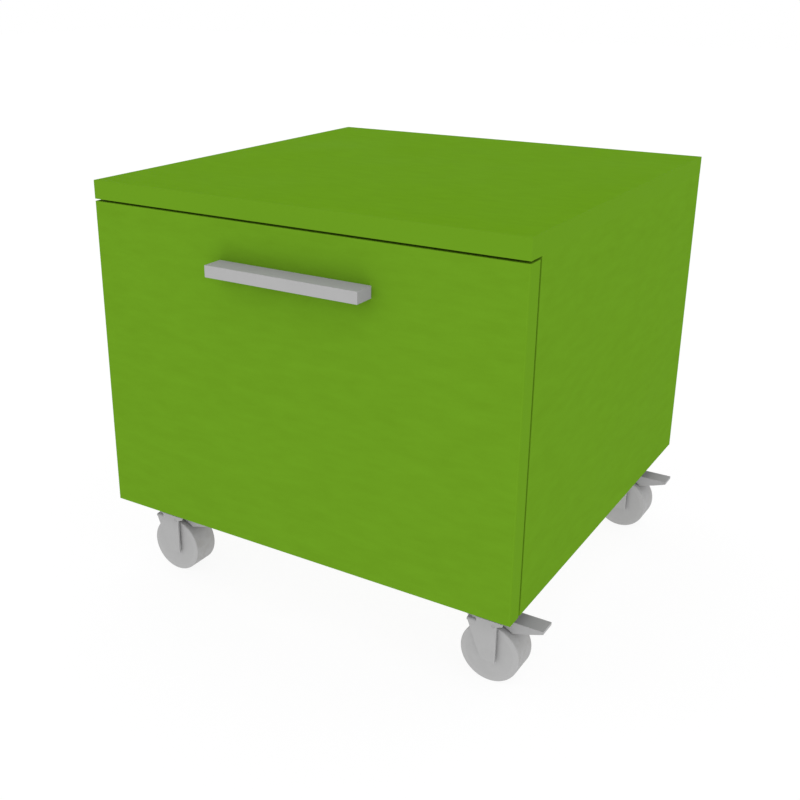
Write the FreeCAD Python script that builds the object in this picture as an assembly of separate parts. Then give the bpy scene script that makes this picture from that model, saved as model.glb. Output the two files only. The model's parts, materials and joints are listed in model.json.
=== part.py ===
import FreeCAD, Part
import math
import os

# A low bedside cabinet on four braked swivel casters, with one deep drawer on ball slides.
# Millimetres. The origin is on the floor under the middle of the cabinet's plan, +Z is up,
# and the drawer opens towards -Y.

# Boards
cabinet_width = 400.0
cabinet_depth = 400.0  # from the drawer front's face to the back
carcass_height = 300.0
board = 16.0
edge_band = 1.0
edge_round = 0.5
front_joint = 2.4  # between the drawer front and the carcass
top_joint = 1.9  # between the drawer front and the top
fit = 0.05  # around pins, screws and dowels in their holes
overcut = 1.0  # how far a cutting tool runs past the piece

# Cams, cam bolts and dowels
cam_radius = 7.5
cam_depth = 12.5
cam_distance = 24.0  # from the joint to the cam's centre
cam_end_inset = 60.0  # from a board's end to its first cam
cam_bolt_radius = 3.0
cam_bolt_bore = 3.7
cam_thread_radius = 2.5
cam_thread_length = 11.0
cam_slot_depth = 2.0
dowel_radius = 4.0
dowel_in_face = 11.0
dowel_in_edge = 19.0
dowel_to_cam = 40.0
dowel_chamfer = 0.8
dowel_hole_spare = 0.5

# Drawer box
box_board = 12.0
box_above_bottom = 12.0  # from the cabinet's bottom board up to the drawer box
box_below_handle = 15.8  # from the handle's middle down to the drawer box's upper edge
box_to_back = 18.0  # from the drawer box to the cabinet's back
box_bottom = 6.0
box_bottom_lift = 12.0  # from the drawer box's lower edge to its bottom
groove_depth = 5.0
box_screw_inset = 25.0
front_screw_spacing_x = 220.0
front_screw_inset_z = 40.0
bumper_radius = 4.0
bumper_slack = 0.1
bumper_inset_z = 24.0

# Pull handle
handle_length = 142.0
handle_height = 9.9
handle_depth = 19.4
handle_offset = 4.4  # to the right of the middle
handle_axis_drop = 38.4  # from the drawer front's top edge to the handle's middle
handle_wall = 2.0
handle_screw_spacing = 128.0
handle_boss_width = 9.0
handle_boss_recess = 0.8
handle_thread_depth = 10.0
handle_round = 0.35

# Ball slides, in section: u from the side board inwards, w up from the slide's middle
slide_setback = 2.0  # behind the carcass's front edge
slide_to_back = 15.0  # from the slide to the cabinet's back
slide_above_bottom = 72.0  # from the cabinet's bottom board to the slide's middle
slide_width = 12.7
slide_height = 45.0
slide_steel = 1.2
slide_lip = 2.2
slide_ball_radius = 1.5
slide_ball_play = 0.3
slide_head_room = 2.2  # for screw heads between two members
cabinet_member_depth = 11.5
middle_member_depth = 7.6
drawer_member_depth = 7.3
outer_ball_depth = 6.9
inner_ball_depth = 7.4
cage_length = 120.0
cage_steel = 0.8
cage_width = 4.4
cage_balls = 8
slide_screw_inset = 30.0

# Casters: heights are stacked down from the bottom board
caster_inset_side = 36.2
caster_inset_front = 36.3
caster_inset_rear = 53.7
plate_side = 38.0
plate_thickness = 2.0
plate_corner = 4.0
plate_hole_spacing = 28.0
cup_radius = 14.8  # of the swivel's head, above and below the race joint
cup_wall = 2.0
cup_height = 10.5
race_joint = 0.3
race_ring_height = 4.4
swivel_ball_radius = 2.0
swivel_ball_play = 0.2
swivel_ball_circle = 7.9
swivel_balls = 10
crown_thickness = 2.2
crown_rim = 0.5  # round the race ring
crown_to_wheel = 1.3
kingpin_radius = 4.0
kingpin_head_radius = 5.5
kingpin_head = 1.1
kingpin_play = 0.08
wheel_radius = 25.65
wheel_width = 26.0
wheel_round = 1.2
tyre_thickness = 4.65
trail = 10.0
hub_radius = 5.5
hub_to_leg = 0.3
leg_thickness = 1.8
leg_to_wheel = 2.1
leg_front = 6.8  # from the axle to the leg's straight front edge
leg_rear_reach = 19.2  # from the axle to the leg's upper rear corner
leg_bend = 1.7
foot_drop = 5.4  # from the axle down to the foot's lower edge
foot_rear = 5.7  # from the axle to the foot's rear corner
foot_rear_round = 3.5
foot_front_round = 0.6
ear_height = 3.2  # above the crown
ear_rear = 10.9  # from the axle
ear_front = 11.7
ear_slope = 0.9  # of its lower edge, above and below the crown's top
axle_radius = 3.0
axle_flare = 1.0
axle_play = 0.08

# Brake pedal, from the wheel's axle in x and from the bottom board in z
pedal_width = 16.7
pedal_top_drop = 14.5
pedal_reach = 42.5
pedal_tip = 2.4
pedal_hub_radius = 2.3
pedal_pin_radius = 1.5
pedal_pin_x = 4.0
pedal_pin_drop = 17.8
pedal_shoe_gap = 1.8
pedal_room = 0.8  # between the pedal and the fork
pedal_shoe_x = 17.0
pedal_knee_x = 31.0
pedal_knee_height = 6.4

# Screws
screw_head_radius = 3.2
screw_head_height = 1.8
screw_shank_radius = 1.75
screw_length = 13.0
long_screw_length = 35.0
front_screw_bite = 11.0  # into the drawer front
drawer_slide_screw_length = 10.0
tip_share_of_shank = 0.25  # of the shank's radius
dome_share_of_head = 1.25  # of the head's radius
handle_screw_head_radius = 4.0
handle_screw_head_height = 2.4
handle_screw_radius = 2.0
recess_width = 0.9
recess_share_of_head = 0.6

# Worked out from the above
half_width = cabinet_width / 2
face_y = -cabinet_depth / 2
front_back_y = face_y + board
carcass_front_y = front_back_y + front_joint
rear_y = cabinet_depth / 2
back_inner_y = rear_y - board
crown_top_drop = plate_thickness + cup_height + race_joint + race_ring_height
axle_drop = crown_top_drop + crown_thickness + crown_to_wheel + wheel_radius
floor_to_bottom = axle_drop + wheel_radius
underside_z = floor_to_bottom
bottom_top_z = underside_z + board
top_z = underside_z + carcass_height
top_under_z = top_z - board
drawer_front_top_z = top_under_z - top_joint
inner_x = half_width - board
box_half_width = inner_x - slide_width
handle_z = drawer_front_top_z - handle_axis_drop
box_low_z = bottom_top_z + box_above_bottom
box_top_z = handle_z - box_below_handle
box_back_y = back_inner_y - box_to_back
slide_z = bottom_top_z + slide_above_bottom
slide_front_y = carcass_front_y + slide_setback
slide_back_y = back_inner_y - slide_to_back
leg_inner_y = wheel_width / 2 + leg_to_wheel
leg_outer_y = leg_inner_y + leg_thickness


def vector(x, y, z):
    return FreeCAD.Vector(x, y, z)


def block(x0, x1, y0, y1, z0, z1):
    """A box between two corners, in any order."""
    low = vector(min(x0, x1), min(y0, y1), min(z0, z1))
    return Part.makeBox(abs(x1 - x0), abs(y1 - y0), abs(z1 - z0), low)


def rod(radius, start, end):
    """A cylinder from one point to another."""
    return Part.makeCylinder(radius, (end - start).Length, start, end - start)


def place(shape, point, direction):
    """A shape made along +Z from the origin, turned along a direction and moved to a point."""
    turned = shape.copy()
    turned.Placement = FreeCAD.Placement(point, FreeCAD.Rotation(vector(0, 0, 1), direction))
    return turned


def save(node, *solids):
    """One file for each node. A node of several pieces is a group of separate solids."""
    shape = solids[0] if len(solids) == 1 else Part.makeCompound(list(solids))
    shape.exportStep("parts/" + node + ".step")


def edges_on_plane(shape, axis, value):
    """The indexes of the edges that lie in the plane where one coordinate has this value."""
    found = set()
    for index, edge in enumerate(shape.Edges):
        if all(abs(vertex.Point[axis] - value) < 1e-6 for vertex in edge.Vertexes):
            found.add(index)
    return found


opposite_sides = ("left", "right"), ("front", "back"), ("bottom", "top")


def axis_and_end(side):
    """The axis that a box's side is across, and whether it is the low or the high end."""
    for axis, names in enumerate(opposite_sides):
        if side in names:
            return axis, names.index(side)


def banded_board(limits, banded, sharp):
    """A board's core and its edge bands, rounded along them and square at the board's corners.

    The first side named keeps the full length, and the sides named as sharp meet another board.
    """
    whole = block(*limits[0], *limits[1], *limits[2])
    rounded = set()
    for side in banded:
        axis, end = axis_and_end(side)
        rounded ^= edges_on_plane(whole, axis, limits[axis][end])
    for side in sharp:
        axis, end = axis_and_end(side)
        rounded -= edges_on_plane(whole, axis, limits[axis][end])
    whole = whole.makeFillet(edge_round, [whole.Edges[index] for index in sorted(rounded)])
    rest = [list(pair) for pair in limits]
    bands = []
    for side in banded:
        axis, end = axis_and_end(side)
        strip = [list(pair) for pair in rest]
        inward = edge_band if end == 0 else -edge_band
        strip[axis][1 - end] = rest[axis][end] + inward
        rest[axis][end] += inward
        bands.append(block(*strip[0], *strip[1], *strip[2]).common(whole).Solids[0])
    core = block(*rest[0], *rest[1], *rest[2])
    return core, bands


def cross_recess(radius, depth):
    """The cross slot of a screw or cam, cut down from z = 0."""
    arm = radius * recess_share_of_head
    wide = recess_width / 2
    return block(-arm, arm, -wide, wide, -depth, 0).fuse(block(-wide, wide, -arm, arm, -depth, 0))


def screw(head_radius, head_height, shank_radius, length):
    """A domed screw along +Z: the head is below z = 0 and the shank above it."""
    dome_radius = head_radius * dome_share_of_head
    dome = Part.makeSphere(dome_radius, vector(0, 0, dome_radius - head_height))
    head = rod(head_radius, vector(0, 0, -head_height), vector(0, 0, 0)).common(dome)
    slot = cross_recess(head_radius, head_height * recess_share_of_head)
    slot.translate(vector(0, 0, -head_height * (1 - recess_share_of_head)))
    shank = rod(shank_radius, vector(0, 0, 0), vector(0, 0, length - shank_radius))
    tip_start = vector(0, 0, length - shank_radius)
    tip = Part.makeCone(shank_radius, shank_radius * tip_share_of_shank, shank_radius, tip_start)
    return head.fuse(shank).fuse(tip).cut(slot).removeSplitter()


def wood_screw(length):
    return screw(screw_head_radius, screw_head_height, screw_shank_radius, length)


def cam_joint(seat, into_board, to_face):
    """A cam and its bolt: the bolt crosses the joint at seat and enters the cam's board."""
    centre = seat + into_board * cam_distance
    cam_face = centre + to_face * (board / 2)
    cam_body = rod(cam_radius, cam_face, cam_face - to_face * cam_depth)
    throat = rod(cam_bolt_bore, centre - into_board * cam_radius, centre + into_board * cam_bolt_bore)
    slot = place(cross_recess(cam_radius, cam_slot_depth), cam_face, to_face)
    cam = cam_body.cut(throat).cut(slot)
    thread = rod(cam_thread_radius, seat, seat - into_board * cam_thread_length)
    shank = rod(cam_bolt_radius, seat, centre)
    bolt = thread.fuse(shank).removeSplitter()
    pocket = rod(cam_radius + fit, cam_face, cam_face - to_face * (cam_depth + fit))
    bore = rod(cam_bolt_bore, seat, centre)
    thread_hole = rod(cam_thread_radius + fit, seat, seat - into_board * (cam_thread_length + fit))
    return cam, bolt, [pocket, bore, thread_hole]


def dowel_joint(seat, into_edge):
    """A glued dowel across a joint, and the hole for it in both boards."""
    start = seat - into_edge * dowel_in_face
    end = seat + into_edge * dowel_in_edge
    pin = rod(dowel_radius, start, end)
    pin = pin.makeChamfer(dowel_chamfer, [edge for edge in pin.Edges if edge.Closed])
    spare = into_edge * dowel_hole_spare
    return pin, [rod(dowel_radius + fit, start - spare, end + spare)]


def carcass_joints():
    """Each joint of the boards: where it is, into which board's edge it goes and to which face."""
    joints = []
    y_ends = (carcass_front_y + cam_end_inset, 1), (back_inner_y - cam_end_inset, -1)
    for side in (-1, 1):
        inward = vector(-side, 0, 0)
        for y, step in y_ends:
            along = vector(0, step * dowel_to_cam, 0)
            mid_board_x = side * (half_width - board / 2)
            joints.append((vector(mid_board_x, y, top_under_z), vector(0, 0, -1), inward, along))
            mid_bottom_z = underside_z + board / 2
            joints.append((vector(side * inner_x, y, mid_bottom_z), inward, vector(0, 0, 1), along))
        for z, step in ((bottom_top_z + cam_end_inset, 1), (top_under_z - cam_end_inset, -1)):
            along = vector(0, 0, step * dowel_to_cam)
            mid_back_y = rear_y - board / 2
            joints.append((vector(side * inner_x, mid_back_y, z), inward, vector(0, -1, 0), along))
    return joints


def slide_screw_places():
    """Where the slides are screwed: the y of each screw."""
    middle = (slide_front_y + slide_back_y) / 2
    return (slide_front_y + slide_screw_inset, middle, slide_back_y - slide_screw_inset)


def caster_places():
    """Each caster's name and its swivel axis."""
    places = []
    for depth_name, y in (("front", face_y + caster_inset_front), ("rear", rear_y - caster_inset_rear)):
        for side_name, side in (("left", -1), ("right", 1)):
            x = side * (half_width - caster_inset_side)
            places.append((depth_name + "_" + side_name, vector(x, y, 0)))
    return places


def plate_screws(axis):
    """The four screws of one caster plate, driven up into the bottom board."""
    screws = []
    for x in (-plate_hole_spacing / 2, plate_hole_spacing / 2):
        for y in (-plate_hole_spacing / 2, plate_hole_spacing / 2):
            seat = vector(axis.x + x, axis.y + y, underside_z - plate_thickness)
            screws.append(place(wood_screw(screw_length), seat, vector(0, 0, 1)))
    return screws


def screw_hole(seat, direction, length):
    """The hole that a wood screw's shank fills."""
    return rod(screw_shank_radius + fit, seat, seat + direction * (length + fit))


def carcass():
    """The boards of the cabinet, their bands, and what joins them."""
    cams, bolts, pins, bores = [], [], [], []
    for seat, into_board, to_face, along in carcass_joints():
        cam, bolt, holes = cam_joint(seat, into_board, to_face)
        pin, pin_holes = dowel_joint(seat + along, into_board)
        cams.append(cam)
        bolts.append(bolt)
        pins.append(pin)
        bores += holes + pin_holes
    for side in (-1, 1):
        for y in slide_screw_places():
            seat = vector(side * inner_x, y, slide_z)
            bores.append(screw_hole(seat, vector(side, 0, 0), screw_length))
    for name, axis in caster_places():
        for x in (-plate_hole_spacing / 2, plate_hole_spacing / 2):
            for y in (-plate_hole_spacing / 2, plate_hole_spacing / 2):
                seat = vector(axis.x + x, axis.y + y, underside_z)
                bores.append(screw_hole(seat, vector(0, 0, 1), screw_length))

    top, top_bands = banded_board(
        [(-half_width, half_width), (face_y, rear_y), (top_under_z, top_z)],
        ["front", "back", "left", "right"],
        ["bottom"],
    )
    save("top_panel", top.cut(bores))
    save("top_edging", *top_bands)

    bands = []
    for side, name in ((-1, "left"), (1, "right")):
        width = sorted((side * half_width, side * inner_x))
        core, side_bands = banded_board(
            [width, (carcass_front_y, rear_y), (underside_z, top_under_z)],
            ["front", "back", "bottom"],
            ["top"],
        )
        save(name + "_side_panel", core.cut(bores))
        bands += side_bands
    bottom, bottom_bands = banded_board(
        [(-inner_x, inner_x), (carcass_front_y, back_inner_y), (underside_z, bottom_top_z)],
        ["front"],
        ["left", "right"],
    )
    back, back_bands = banded_board(
        [(-inner_x, inner_x), (back_inner_y, rear_y), (underside_z, top_under_z)],
        ["bottom"],
        ["left", "right"],
    )
    save("bottom_panel", bottom.cut(bores))
    save("back_panel", back.cut(bores))
    save("carcass_edging", *(bands + bottom_bands + back_bands))
    save("cam_housings", *cams)
    save("cam_bolts", *bolts)
    save("carcass_dowels", *pins)


def handle_screw_places():
    """Where the handle's screws cross the drawer front's face."""
    middle = vector(handle_offset, face_y, handle_z)
    return [middle + vector(side * handle_screw_spacing / 2, 0, 0) for side in (-1, 1)]


def handle():
    """A cast bar pull, open below and behind, with two screw bosses inside."""
    half = handle_length / 2
    x0, x1 = handle_offset - half, handle_offset + half
    low, high = handle_z - handle_height / 2, handle_z + handle_height / 2
    front = face_y - handle_depth
    body = block(x0, x1, front, face_y, low, high)
    crisp = edges_on_plane(body, 1, face_y)
    kept = [edge for index, edge in enumerate(body.Edges) if index not in crisp]
    body = body.makeFillet(handle_round, kept)
    inside = block(x0 + handle_wall, x1 - handle_wall, front + handle_wall, face_y, low, high - handle_wall)
    body = body.cut(inside)
    for seat in handle_screw_places():
        boss = block(
            seat.x - handle_boss_width / 2,
            seat.x + handle_boss_width / 2,
            front + handle_wall / 2,
            face_y,
            low + handle_boss_recess,
            high - handle_wall / 2,
        )
        body = body.fuse(boss)
    for seat in handle_screw_places():
        hole_end = seat - vector(0, handle_thread_depth + overcut, 0)
        body = body.cut(rod(handle_screw_radius + fit, seat, hole_end))
    return body.removeSplitter()


def drawer_front():
    """The drawer's front board, its bands, the handle, and the fixings behind it."""
    inward = vector(0, 1, 0)
    outward = vector(0, -1, 0)
    holes, screws, handle_screws = [], [], []
    for seat in handle_screw_places():
        holes.append(rod(handle_screw_radius + fit, seat, seat + inward * board))
        length = board + handle_thread_depth
        pin = screw(handle_screw_head_radius, handle_screw_head_height, handle_screw_radius, length)
        handle_screws.append(place(pin, seat + inward * board, outward))
    front_screw_length = box_board + front_screw_bite
    for x in (-front_screw_spacing_x / 2, front_screw_spacing_x / 2):
        for z in (box_low_z + front_screw_inset_z, box_top_z - front_screw_inset_z):
            seat = vector(x, front_back_y + box_board, z)
            holes.append(screw_hole(seat, outward, front_screw_length))
            screws.append(place(wood_screw(front_screw_length), seat, outward))
    core, bands = banded_board(
        [(-half_width, half_width), (face_y, front_back_y), (underside_z, drawer_front_top_z)],
        ["left", "right", "bottom", "top"],
        [],
    )
    save("drawer_front", core.cut(holes))
    save("drawer_front_edging", *bands)
    save("drawer_front_screws", *screws)
    save("handle", handle())
    save("handle_screws", *handle_screws)
    bumpers = []
    for side in (-1, 1):
        for z in (underside_z + bumper_inset_z, drawer_front_top_z - bumper_inset_z):
            seat = vector(side * (half_width - board / 2), front_back_y, z)
            bumpers.append(rod(bumper_radius, seat, seat + inward * (front_joint - bumper_slack)))
    save("drawer_bumpers", *bumpers)
    return holes


def drawer_box(front_holes):
    """The box behind the drawer front, with its bottom held in grooves all round."""
    bottom_z = box_low_z + box_bottom_lift
    inner = box_half_width - box_board
    panel = (bottom_z, bottom_z + box_bottom)
    y0, y1 = front_back_y + box_board, box_back_y - box_board
    wide = inner + groove_depth
    bottom = block(-wide, wide, y0 - groove_depth, y1 + groove_depth, *panel)
    save("drawer_bottom", bottom)
    screws, holes = [], []
    for side in (-1, 1):
        for y in (front_back_y + box_board / 2, box_back_y - box_board / 2):
            for z in (box_low_z + box_screw_inset, box_top_z - box_screw_inset):
                seat = vector(side * box_half_width, y, z)
                inward = vector(-side, 0, 0)
                head = seat + inward * screw_head_height
                holes.append(screw_hole(head, inward, long_screw_length))
                holes.append(rod(screw_head_radius + fit, seat, head))
                screws.append(place(wood_screw(long_screw_length), head, inward))
    for side in (-1, 1):
        for y in slide_screw_places():
            seat = vector(side * box_half_width, y, slide_z)
            holes.append(screw_hole(seat, vector(-side, 0, 0), drawer_slide_screw_length))
    holes += front_holes + [bottom]
    height = (box_low_z, box_top_z)
    for side, name in ((-1, "left"), (1, "right")):
        board_side = block(side * inner, side * box_half_width, front_back_y, box_back_y, *height)
        save("drawer_" + name + "_side", board_side.cut(holes))
    save("drawer_inner_front", block(-inner, inner, front_back_y, y0, *height).cut(holes))
    save("drawer_back", block(-inner, inner, y1, box_back_y, *height).cut(holes))
    save("drawer_box_screws", *screws)


def slide_block(side, u0, u1, w0, w1, y0, y1):
    """A block in a slide's section: u inwards from the side board, w up from the slide's middle."""
    return block(side * (inner_x - u0), side * (inner_x - u1), y0, y1, slide_z + w0, slide_z + w1)


def ball_groove(side, u, w):
    """The race that a row of balls runs in."""
    x = side * (inner_x - u)
    start = vector(x, slide_front_y - overcut, slide_z + w)
    end = vector(x, slide_back_y + overcut, slide_z + w)
    return rod(slide_ball_radius + slide_ball_play, start, end)


def slide_levels():
    """Heights of the races above the slide's middle, from the outer flange inwards."""
    outer_face = slide_height / 2 - slide_steel
    outer_balls = outer_face - slide_ball_radius
    middle_outer = outer_balls - slide_ball_radius
    middle_inner = middle_outer - slide_steel
    inner_balls = middle_inner - slide_ball_radius
    drawer_outer = inner_balls - slide_ball_radius
    return outer_face, outer_balls, middle_outer, middle_inner, inner_balls, drawer_outer


def slide_members(side):
    """The cabinet, middle and drawer members of one slide, each one bent strip of steel."""
    outer_face, outer_balls, middle_outer, middle_inner, inner_balls, drawer_outer = slide_levels()
    ends = (slide_front_y, slide_back_y)
    half = slide_height / 2
    cabinet = slide_block(side, 0, slide_steel, -half, half, *ends)
    web = slide_steel + slide_head_room
    middle_end = web + middle_member_depth
    middle = slide_block(side, web, web + slide_steel, -middle_outer, middle_outer, *ends)
    drawer = slide_block(side, slide_width - slide_steel, slide_width, -drawer_outer, drawer_outer, *ends)
    drawer_start = slide_width - drawer_member_depth
    for up in (-1, 1):
        flange = slide_block(side, 0, cabinet_member_depth, up * outer_face, up * half, *ends)
        lip = slide_block(
            side,
            cabinet_member_depth - slide_steel,
            cabinet_member_depth,
            up * (outer_face - slide_lip),
            up * half,
            *ends,
        )
        cabinet = cabinet.fuse(flange).fuse(lip)
        cabinet = cabinet.cut(ball_groove(side, outer_ball_depth, up * outer_balls))
        flange = slide_block(side, web, middle_end, up * middle_inner, up * middle_outer, *ends)
        lip_start = middle_end - slide_steel
        lip_low = up * (middle_inner - slide_lip)
        lip = slide_block(side, lip_start, middle_end, lip_low, up * middle_outer, *ends)
        middle = middle.fuse(flange).fuse(lip)
        middle = middle.cut(ball_groove(side, outer_ball_depth, up * outer_balls))
        middle = middle.cut(ball_groove(side, inner_ball_depth, up * inner_balls))
        flange = slide_block(
            side, drawer_start, slide_width, up * (drawer_outer - slide_steel), up * drawer_outer, *ends
        )
        drawer = drawer.fuse(flange).cut(ball_groove(side, inner_ball_depth, up * inner_balls))
    return cabinet.removeSplitter(), middle.removeSplitter(), drawer.removeSplitter()


def ball_cage(side, u, w):
    """A strip that keeps one row of balls apart, and the balls in it."""
    middle_y = (slide_front_y + slide_back_y) / 2
    y0 = middle_y - cage_length / 2
    strip = slide_block(
        side,
        u - cage_width / 2,
        u + cage_width / 2,
        w - cage_steel / 2,
        w + cage_steel / 2,
        y0,
        y0 + cage_length,
    )
    pitch = cage_length / cage_balls
    balls = []
    for index in range(cage_balls):
        centre = vector(side * (inner_x - u), y0 + pitch * (index + 0.5), slide_z + w)
        balls.append(Part.makeSphere(slide_ball_radius, centre))
        up = vector(0, 0, cage_steel)
        strip = strip.cut(rod(slide_ball_radius + fit, centre - up, centre + up))
    return strip, balls


def slides():
    """Both slides: members, cages, balls and screws."""
    levels = slide_levels()
    outer_balls, inner_balls = levels[1], levels[4]
    outer_cages, outer_row, inner_cages, inner_row = [], [], [], []
    cabinet_screws, drawer_screws = [], []
    for side, name in ((-1, "left"), (1, "right")):
        cabinet, middle, drawer = slide_members(side)
        for y in slide_screw_places():
            outward = vector(side, 0, 0)
            seat = vector(side * (inner_x - slide_steel), y, slide_z)
            cabinet = cabinet.cut(screw_hole(seat, outward, slide_steel))
            cabinet_screws.append(place(wood_screw(screw_length), seat, outward))
            seat = vector(side * (box_half_width + slide_steel), y, slide_z)
            drawer = drawer.cut(screw_hole(seat, -outward, slide_steel))
            drawer_screws.append(place(wood_screw(drawer_slide_screw_length), seat, -outward))
        save(name + "_slide_cabinet_member", cabinet)
        save(name + "_slide_middle_member", middle)
        save(name + "_slide_drawer_member", drawer)
        for up in (-1, 1):
            strip, balls = ball_cage(side, outer_ball_depth, up * outer_balls)
            outer_cages.append(strip)
            outer_row += balls
            strip, balls = ball_cage(side, inner_ball_depth, up * inner_balls)
            inner_cages.append(strip)
            inner_row += balls
    save("outer_ball_cages", *outer_cages)
    save("outer_slide_balls", *outer_row)
    save("inner_ball_cages", *inner_cages)
    save("inner_slide_balls", *inner_row)
    save("slide_cabinet_screws", *cabinet_screws)
    save("slide_drawer_screws", *drawer_screws)


def ring(outer, inner, z_top, z_bottom):
    """A ring about the swivel axis."""
    hole = rod(inner, vector(0, 0, z_bottom - overcut), vector(0, 0, z_top + overcut))
    return rod(outer, vector(0, 0, z_bottom), vector(0, 0, z_top)).cut(hole)


def swivel_race():
    """The ring of space that the swivel's balls roll in, with play round them."""
    z = underside_z - plate_thickness - cup_height - race_joint / 2
    return Part.makeTorus(swivel_ball_circle, swivel_ball_radius + swivel_ball_play, vector(0, 0, z))


def caster_plate():
    """The mounting plate with the ball cup pressed down from it."""
    half = plate_side / 2
    low = underside_z - plate_thickness
    plate = block(-half, half, -half, half, low, underside_z)
    corners = [edge for edge in plate.Edges if abs(edge.Vertexes[0].Z - edge.Vertexes[1].Z) > 1e-6]
    plate = plate.makeFillet(plate_corner, corners)
    for x in (-plate_hole_spacing / 2, plate_hole_spacing / 2):
        for y in (-plate_hole_spacing / 2, plate_hole_spacing / 2):
            plate = plate.cut(screw_hole(vector(x, y, low), vector(0, 0, 1), plate_thickness))
    cup_low = low - cup_height
    wall = ring(cup_radius, cup_radius - cup_wall, low, cup_low)
    floor = ring(cup_radius - cup_wall, kingpin_radius + fit, cup_low + 2 * cup_wall, cup_low)
    body = plate.fuse(wall).fuse(floor).cut(swivel_race())
    hole = rod(kingpin_radius + fit, vector(0, 0, cup_low), vector(0, 0, underside_z))
    return body.cut(hole).removeSplitter()


def kingpin():
    """The rivet that the fork turns on: headed over in the plate and under the crown."""
    crown_under = underside_z - crown_top_drop - crown_thickness
    head_top = crown_under - kingpin_play
    shaft = rod(kingpin_radius, vector(0, 0, head_top), vector(0, 0, underside_z))
    head = rod(kingpin_head_radius, vector(0, 0, head_top - kingpin_head), vector(0, 0, head_top))
    return shaft.fuse(head).removeSplitter()


def swivel_ball_ring():
    """The balls of one swivel."""
    z = underside_z - plate_thickness - cup_height - race_joint / 2
    balls = []
    for index in range(swivel_balls):
        turn = 2 * math.pi * index / swivel_balls
        centre = vector(swivel_ball_circle * math.cos(turn), swivel_ball_circle * math.sin(turn), z)
        balls.append(Part.makeSphere(swivel_ball_radius, centre))
    return balls


def fork_leg(y0, y1):
    """One leg: a flat foot under the axle, a straight front edge, a raked rear edge and an ear."""
    axle_z = underside_z - axle_drop
    top = underside_z - crown_top_drop - axle_z
    front_foot = vector(leg_front, 0, -foot_drop)
    rear_foot = vector(-foot_rear, 0, -foot_drop)
    corners = [
        front_foot,
        rear_foot,
        vector(-leg_rear_reach, 0, top),
        vector(-ear_rear, 0, top),
        vector(-ear_rear, 0, top + ear_height),
        vector(ear_front, 0, top + ear_height),
        vector(ear_front, 0, top + ear_slope),
        vector(leg_front, 0, top - ear_slope),
        front_foot,
    ]
    leg = Part.Face(Part.makePolygon(corners)).extrude(vector(0, y1 - y0, 0))
    for corner, radius in ((rear_foot, foot_rear_round), (front_foot, foot_front_round)):
        for edge in leg.Edges:
            if all(math.hypot(end.X - corner.x, end.Z - corner.z) < 1e-6 for end in edge.Vertexes):
                leg = leg.makeFillet(radius, [edge])
                break
    leg.translate(vector(trail, y0, axle_z))
    return leg


def caster_fork():
    """The pressed fork: two legs under a crown, with the lower ball race on top."""
    axle_z = underside_z - axle_drop
    pin = vector(trail + pedal_pin_x, 0, underside_z - pedal_pin_drop)
    top = underside_z - crown_top_drop
    under = top - crown_thickness
    crown_front = pin.x - pedal_hub_radius - pedal_room
    crown_far = crown_front + cup_radius
    crown = block(trail - leg_rear_reach, crown_front, -leg_outer_y, leg_outer_y, under, top)
    disc = rod(cup_radius + crown_rim, vector(0, 0, under), vector(0, 0, top))
    room_for_pedal = block(crown_front, crown_far, -leg_inner_y, leg_inner_y, under, top)
    crown = crown.fuse(disc).cut(room_for_pedal)
    body = crown.fuse(fork_leg(-leg_outer_y, -leg_inner_y)).fuse(fork_leg(leg_inner_y, leg_outer_y))
    body = body.removeSplitter()
    bends = []
    for edge in body.Edges:
        ends = [vertex.Point for vertex in edge.Vertexes]
        level = all(abs(end.z - top) < 1e-6 for end in ends)
        outside = all(abs(abs(end.y) - leg_outer_y) < 1e-6 for end in ends)
        if level and outside:
            bends.append(edge)
    body = body.makeFillet(leg_bend, bends)
    race = ring(cup_radius, kingpin_radius + kingpin_play, top + race_ring_height, top)
    room_half = pedal_width / 2 + pedal_room
    room_top = underside_z - pedal_top_drop + pedal_room
    race = race.cut(block(crown_front, crown_far, -room_half, room_half, top, room_top))
    body = body.fuse(race).cut(swivel_race())
    shaft_room = rod(kingpin_radius + kingpin_play, vector(0, 0, under), vector(0, 0, top))
    axle_ends = vector(trail, -leg_outer_y, axle_z), vector(trail, leg_outer_y, axle_z)
    pin_ends = vector(pin.x, -leg_outer_y, pin.z), vector(pin.x, leg_outer_y, pin.z)
    body = body.cut(shaft_room)
    body = body.cut(rod(axle_radius + fit, *axle_ends))
    body = body.cut(rod(pedal_pin_radius + axle_play, *pin_ends))
    for out in (-1, 1):
        body = body.cut(axle_head(out, fit))
    return body.removeSplitter()


def axle_head(out, play):
    """The axle's end, spread into a countersink so that it lies flush in the leg."""
    axle_z = underside_z - axle_drop
    start = vector(trail, out * (leg_outer_y - axle_flare), axle_z)
    narrow = axle_radius + play
    return Part.makeCone(narrow, narrow + axle_flare, axle_flare, start, vector(0, out, 0))


def caster_axle():
    """The riveted axle, flush with both legs."""
    axle_z = underside_z - axle_drop
    shaft = rod(axle_radius, vector(trail, -leg_outer_y, axle_z), vector(trail, leg_outer_y, axle_z))
    return shaft.fuse(axle_head(-1, 0)).fuse(axle_head(1, 0)).removeSplitter()


def caster_wheel():
    """The wheel's core, with a hub that stands out to the fork, and the tyre round it."""
    axle_z = underside_z - axle_drop
    half = wheel_width / 2

    def disc(radius, half_thick):
        return rod(radius, vector(trail, -half_thick, axle_z), vector(trail, half_thick, axle_z))

    whole = disc(wheel_radius, half)
    rims = [edge for edge in whole.Edges if edge.Closed]
    whole = whole.makeFillet(wheel_round, rims)
    core_radius = wheel_radius - tyre_thickness
    tyre = whole.cut(disc(core_radius, half + overcut))
    hub = disc(hub_radius, leg_inner_y - hub_to_leg)
    core = disc(core_radius, half).fuse(hub).removeSplitter()
    core = core.cut(disc(axle_radius + axle_play, leg_inner_y))
    return core, tyre


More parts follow.
